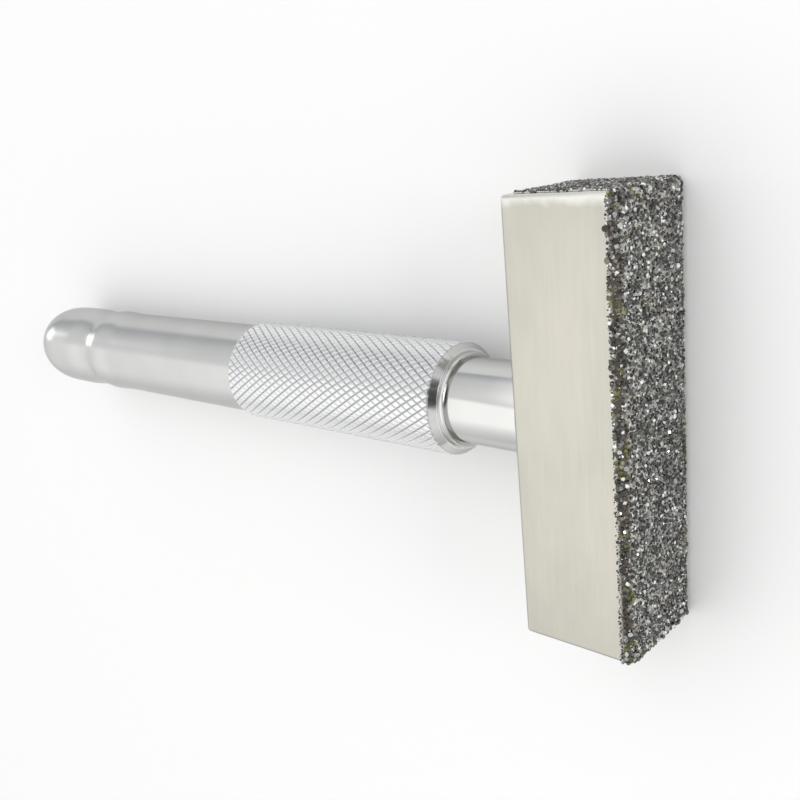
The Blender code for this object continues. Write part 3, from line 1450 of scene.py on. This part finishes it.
    def facet(self, stone: Stone, glint_share: float, draw: random.Random) -> tuple[Colour, float]:
        """Draws the looks of one facet; a few throw the light back like a mirror.

        Args:
            stone: The crystal's kind.
            glint_share: The share of facets that act as mirrors.
            draw: The source of chance.

        Returns:
            The facet's colour and gloss.
        """
        if draw.random() < glint_share:
            return self.glint_colour, MIRROR_GLOSS
        colour, spread = stone.value
        return lighter(colour, math.exp(draw.gauss(0.0, spread))), draw.random()

    def crystal_shapes(self) -> list[bpy.types.Mesh]:
        """Makes a few crystal forms, from cubes with their corners cut.

        Returns:
            Meshes of unit size.
        """
        shapes = []
        for share in self.crystal_cuts:
            bm = bmesh.new()
            bmesh.ops.create_cube(bm, size=self.crystal_cube)
            bevel(bm, bm.verts[:], share * self.crystal_cube, 1, "VERTICES")
            bm.faces.sort(key=lambda face: face.calc_center_median().dot(FACE_ORDER))
            mesh = bpy.data.meshes.new("crystal")
            bm.to_mesh(mesh)
            bm.free()
            shapes.append(mesh)
        return shapes

    def pose(self, grain: Grain, draw: random.Random) -> Matrix:
        """Draws how a crystal sits.

        Args:
            grain: The crystal's seat.
            draw: The source of chance.

        Returns:
            What turns a crystal of unit size to its seat.
        """
        turn = Matrix.Rotation(draw.uniform(0.0, math.tau), 4, "Z")
        tip = Matrix.Rotation(draw.uniform(0.0, math.pi), 4, "X")
        roll = Matrix.Rotation(draw.uniform(0.0, math.tau), 4, "Y")
        wide, deep = draw.uniform(*self.grain_stretch), draw.uniform(*self.grain_stretch)
        stretch = Matrix.Diagonal((wide, deep, 1.0, 1.0))
        stand = grain.place + grain.normal * grain.size * draw.uniform(*self.grain_stand)
        seat = Matrix.Translation(stand) @ Matrix.Scale(self.grain_flatness, 4, grain.normal)
        return seat @ turn @ tip @ roll @ stretch @ Matrix.Scale(grain.size, 4)

    def build_crystals(
        self,
        name: str,
        seats: Sequence[Grain],
        shapes: Sequence[bpy.types.Mesh],
        draw: random.Random,
    ) -> None:
        """Makes one piece of crystals, each with its own form, pose and tints.

        Args:
            name: The piece's name.
            seats: Where its crystals sit.
            shapes: The forms to choose from.
            draw: The source of chance.
        """
        bm = bmesh.new()
        facets: list[tuple[Colour, float]] = []
        for grain in seats:
            shape = draw.choice(shapes)
            pose = self.pose(grain, draw)
            shape.transform(pose)
            bm.from_mesh(shape)
            shape.transform(pose.inverted())
            stone = self.stone(grain, draw)
            glint_share = self.bright_glints if draw.random() < self.bright_share else self.glint_share
            facets += [self.facet(stone, glint_share, draw) for _ in shape.polygons]
        piece = make_piece(name, bm, (self.grain_finish,), Body.HEAD, flat=True)
        tints, glosses = zip(*facets)
        layer = piece.data.attributes.new(self.grain_finish.tint_name, "FLOAT_COLOR", "FACE")
        layer.data.foreach_set("color", np.array([rgba(tint) for tint in tints]).ravel())
        layer = piece.data.attributes.new(self.grain_finish.gloss_name, "FLOAT", "FACE")
        layer.data.foreach_set("value", np.array(glosses))

    def build_grains(self) -> None:
        """Scatters the crystals, and makes those of the front one piece and the others another."""
        draw = random.Random(self.seed)
        shapes = self.crystal_shapes()
        seats = self.grains(draw) + self.rim_grains(draw)
        front = [grain for grain in seats if grain.zone is GritZone.FRONT]
        others = [grain for grain in seats if grain.zone is not GritZone.FRONT]
        self.build_crystals("grit_front", front, shapes, draw)
        self.build_crystals("grit_edges_and_ends", others, shapes, draw)
        for shape in shapes:
            bpy.data.meshes.remove(shape)

    def build(self) -> None:
        """Builds the layer and then its crystals."""
        self.build_bond()
        self.build_grains()


@dataclass
class Stud:
    """The threaded steel stud between head and handle."""

    finish: Finish
    radius: float = 0.0030
    pitch: float = 0.0010
    depth: float = 0.0006
    point: float = 0.0006
    steps: int = 48
    rows_per_turn: int = 10
    flank: float = 1.25
    crest: float = 0.125

    def thread_radius(self, angle: float, x: float, low: float, high: float) -> float:
        """Radius of the thread at a place.

        Args:
            angle: The angle about the axis.
            x: The place along the axis.
            low: The stud's lowest end.
            high: Its highest end.

        Returns:
            The radius, less near the pointed ends.
        """
        phase = (x / self.pitch + angle / math.tau) % 1.0
        wave = self.flank * (1.0 - abs(2.0 * phase - 1.0)) - self.crest
        groove = self.depth * min(1.0, max(0.0, wave))
        from_end = min(x - low, high - x)
        return min(self.radius - groove, self.radius - self.point + from_end)

    def build(self) -> None:
        """Cuts the thread into a rod."""
        low, high = (corner.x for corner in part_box("stud"))
        rows = round((high - low) / self.pitch * self.rows_per_turn)
        rod = bmesh.new()
        bmesh.ops.create_cone(
            rod,
            cap_ends=True,
            segments=self.steps,
            radius1=self.radius,
            radius2=self.radius,
            depth=high - low,
            matrix=Matrix.Translation(((high + low) / 2, 0.0, 0.0)) @ TURN_TO_X,
        )
        bmesh.ops.subdivide_edges(rod, edges=long_edges(rod.edges, Axis.X), cuts=rows - 1)
        for vert in rod.verts:
            angle = math.atan2(vert.co.z, vert.co.y)
            move_to([vert], vert.co.x, self.thread_radius(angle, vert.co.x, low, high))
        bmesh.ops.recalc_face_normals(rod, faces=rod.faces)
        make_piece("stud_thread", rod, (self.finish,), Body.STUD, "stud")


@dataclass(frozen=True)
class Softbox:
    """A soft lamp at a direction from the tool, with the brightness that a mirror would show."""

    name: str
    azimuth: float
    elevation: float
    distance: float
    width: float
    height: float
    radiance: float

    def build(self, aim: Vector) -> None:
        """Hangs the lamp up and points it.

        Args:
            aim: The point that it looks at.
        """
        around, up = math.radians(self.azimuth), math.radians(self.elevation)
        away = Vector((math.cos(around) * math.cos(up), math.sin(around) * math.cos(up), math.sin(up)))
        lamp = bpy.data.lights.new(self.name, "AREA")
        lamp.shape = "RECTANGLE"
        lamp.size = self.width
        lamp.size_y = self.height
        lamp.energy = self.radiance * math.pi * self.width * self.height
        holder = bpy.data.objects.new(lamp.name, lamp)
        holder.location = aim + away * self.distance
        holder.rotation_euler = away.to_track_quat("Z", "Y").to_euler()
        bpy.context.scene.collection.objects.link(holder)


@dataclass
class Studio:
    """Floor, lamps, room and camera."""

    floor_finish: Finish
    floor_size: float = 6.0
    floor_cells: int = 8
    camera_place: Triple = (0.0400, 0.02839, 0.07672)
    camera_right: Triple = (0.73944, -0.09431, -0.66658)
    camera_up: Triple = (-0.11441, 0.95813, -0.26248)
    lens: float = 42.25
    sensor: float = 36.0
    near_clip: float = 0.002
    far_clip: float = 20.0
    aim: Triple = (-0.04, 0.0, 0.0)
    lamps: tuple[Softbox, ...] = (
        Softbox(
            "window",
            azimuth=169.0,
            elevation=12.5,
            distance=1.00,
            width=0.22,
            height=0.22,
            radiance=2.2,
        ),
        Softbox(
            "front_lamp",
            azimuth=12.0,
            elevation=20.0,
            distance=0.70,
            width=0.30,
            height=0.20,
            radiance=5.8,
        ),
    )
    # The room's light depends on direction. A side is a direction, an edge or a reach says between which
    # values the light changes, and a level is what it is multiplied by or what is added.
    room_colours: tuple[Colour, Colour, Colour] = ((0.52, 0.54, 0.57), (0.84, 0.85, 0.86), WHITE)
    room_heights: Triple = (0.02, 0.36, 0.75)
    bright_side: Triple = (-0.155, -0.988, 0.0)
    bright_colour: Colour = (1.0, 1.0, 0.99)
    bright_edge: Span = (-0.03, 0.04)
    bright_levels: Span = (1.12, 1.56)
    bright_reach: Span = (-0.87, -0.55)
    bright_lean: float = 0.13
    lean_reach: Span = (-0.84, -0.60)
    bright_fall: Span = (0.58, 0.92)
    bright_low: float = 0.55
    far_reach: tuple[Span, Span] = ((-0.54, -0.44), (0.15, 0.45))
    far_level: float = 0.6
    front_reach: Span = (-0.45, 0.25)
    front_level: float = 0.68
    shaded_side: Triple = (0.79, 0.21, 0.57)
    shaded_edge: Span = (0.885, 0.950)
    shaded_level: float = 0.10

    def build_floor(self) -> None:
        """Lays the floor under the tool's lowest point."""
        bm = bmesh.new()
        height = Matrix.Translation((0.0, 0.0, CAD_BOX[0].z))
        bmesh.ops.create_grid(
            bm,
            x_segments=self.floor_cells,
            y_segments=self.floor_cells,
            size=self.floor_size / 2,
            matrix=height,
        )
        mesh = bpy.data.meshes.new("floor")
        bm.to_mesh(mesh)
        bm.free()
        mesh.materials.append(self.floor_finish.material())
        floor = bpy.data.objects.new("floor", mesh)
        bpy.context.scene.collection.objects.link(floor)

    def room_shade(self, tree: Tree, height: Socket) -> Socket:
        """Shades the room from horizon to ceiling.

        Args:
            tree: The world's tree.
            height: The height of the ray.

        Returns:
            The room's colour.
        """
        ramp = add_node(tree, "ShaderNodeValToRGB", {"Fac": height})
        ramp.color_ramp.interpolation = "EASE"
        stops = ramp.color_ramp.elements
        stops.new(self.room_heights[1])
        for stop, position, colour in zip(stops, self.room_heights, self.room_colours):
            stop.position = position
            stop.color = rgba(colour)
        return ramp.outputs["Color"]

    def room_light(self, tree: Tree) -> dict[str, Socket]:
        """Lights the room: a bright side, a lit far corner, a dimmer front and a dark patch above it.

        Args:
            tree: The world's tree.

        Returns:
            Sources for the room's colour and strength.
        """
        ray = add_node(tree, "ShaderNodeTexCoord").outputs["Generated"]
        parts = split_place(tree, ray)
        share = vector_node(tree, "DOT_PRODUCT", ray, self.bright_side)
        lean = map_range(tree, parts["X"], self.lean_reach, (0.0, self.bright_lean))
        side = map_range(tree, math_node(tree, "ADD", share, lean), self.bright_edge)
        level = map_range(tree, parts["X"], self.bright_reach, self.bright_levels)
        fall = map_range(tree, share, self.bright_fall, (1.0, self.bright_low))
        extra = math_node(tree, "SUBTRACT", math_node(tree, "MULTIPLY", level, fall), 1.0)
        front = map_range(tree, parts["X"], self.front_reach, (1.0, self.front_level))
        far = [map_range(tree, parts[axis], reach) for axis, reach in zip("XY", self.far_reach)]
        far_side = math_node(tree, "MULTIPLY", math_node(tree, "MULTIPLY", *far), self.far_level)
        level = math_node(tree, "ADD", math_node(tree, "MULTIPLY_ADD", extra, side, 1.0), far_side)
        patch = vector_node(tree, "DOT_PRODUCT", ray, self.shaded_side)
        shaded = map_range(tree, patch, self.shaded_edge, (1.0, self.shaded_level))
        return {
            "Color": mix_colour(tree, side, self.room_shade(tree, parts["Z"]), rgba(self.bright_colour)),
            "Strength": math_node(tree, "MULTIPLY", math_node(tree, "MULTIPLY", level, front), shaded),
        }

    def build_room(self) -> None:
        """Makes a soft grey room, which the camera itself sees as plain white."""
        world = bpy.data.worlds.new("room")
        world.use_nodes = True
        tree = world.node_tree
        room = add_node(tree, "ShaderNodeBackground", self.room_light(tree))
        white = add_node(tree, "ShaderNodeBackground", {"Color": rgba(WHITE), "Strength": 1.0})
        seen = add_node(tree, "ShaderNodeLightPath").outputs["Is Camera Ray"]
        both = add_node(tree, "ShaderNodeMixShader", {0: seen, 1: room.outputs[0], 2: white.outputs[0]})
        feed(tree, tree.nodes["World Output"], {"Surface": both.outputs[0]})
        bpy.context.scene.world = world

    def build_camera(self) -> None:
        """Sets the camera up where the photograph was taken from."""
        right, up = Vector(self.camera_right), Vector(self.camera_up)
        back = right.cross(up).normalized()
        lens = bpy.data.cameras.new("camera")
        lens.lens = self.lens
        lens.sensor_fit = "HORIZONTAL"
        lens.sensor_width = self.sensor
        lens.clip_start, lens.clip_end = self.near_clip, self.far_clip
        camera = bpy.data.objects.new("camera", lens)
        turn = Matrix((right, up, back)).transposed().to_4x4()
        camera.matrix_world = Matrix.Translation(self.camera_place) @ turn
        bpy.context.scene.collection.objects.link(camera)
        bpy.context.scene.camera = camera

    def build(self) -> None:
        """Builds the studio."""
        self.build_floor()
        self.build_room()
        for lamp in self.lamps:
            lamp.build(Vector(self.aim))
        self.build_camera()
        bpy.context.scene.view_settings.view_transform = "Standard"


def main() -> None:
    """Builds the pieces in order, then the studio around them."""
    logging.basicConfig(level=logging.INFO, format="%(name)s: %(message)s")
    form = BarForm()
    nickel = SatinNickel("satin_nickel", colour=(0.528, 0.508, 0.450), roughness=0.40)
    bond = PlatedBond("plated_bond", colour=(0.69, 0.675, 0.64), roughness=0.27)
    grain = DiamondGrain("diamond_grain", colour=(0.10, 0.10, 0.10), roughness=0.06, metallic=0.0)
    aluminium = TurnedAluminium("turned_aluminium", colour=(0.605, 0.607, 0.594), roughness=0.14)
    knurled = KnurledAluminium("knurled_aluminium", colour=(0.715, 0.72, 0.725), roughness=0.25)
    steel = ThreadSteel("thread_steel", colour=(0.52, 0.52, 0.53), roughness=0.30)
    floor = PaleFloor("pale_floor", colour=(0.84, 0.84, 0.84), roughness=0.9, metallic=0.0)
    for assembly in (
        HeadBlock(nickel, form),
        DiamondCoat(bond, grain, form),
        Stud(steel),
        Handle(aluminium, knurled),
        Studio(floor),
    ):
        assembly.build()
        LOG.info("%s is built", type(assembly).__name__)


if __name__ == "__main__":
    main()
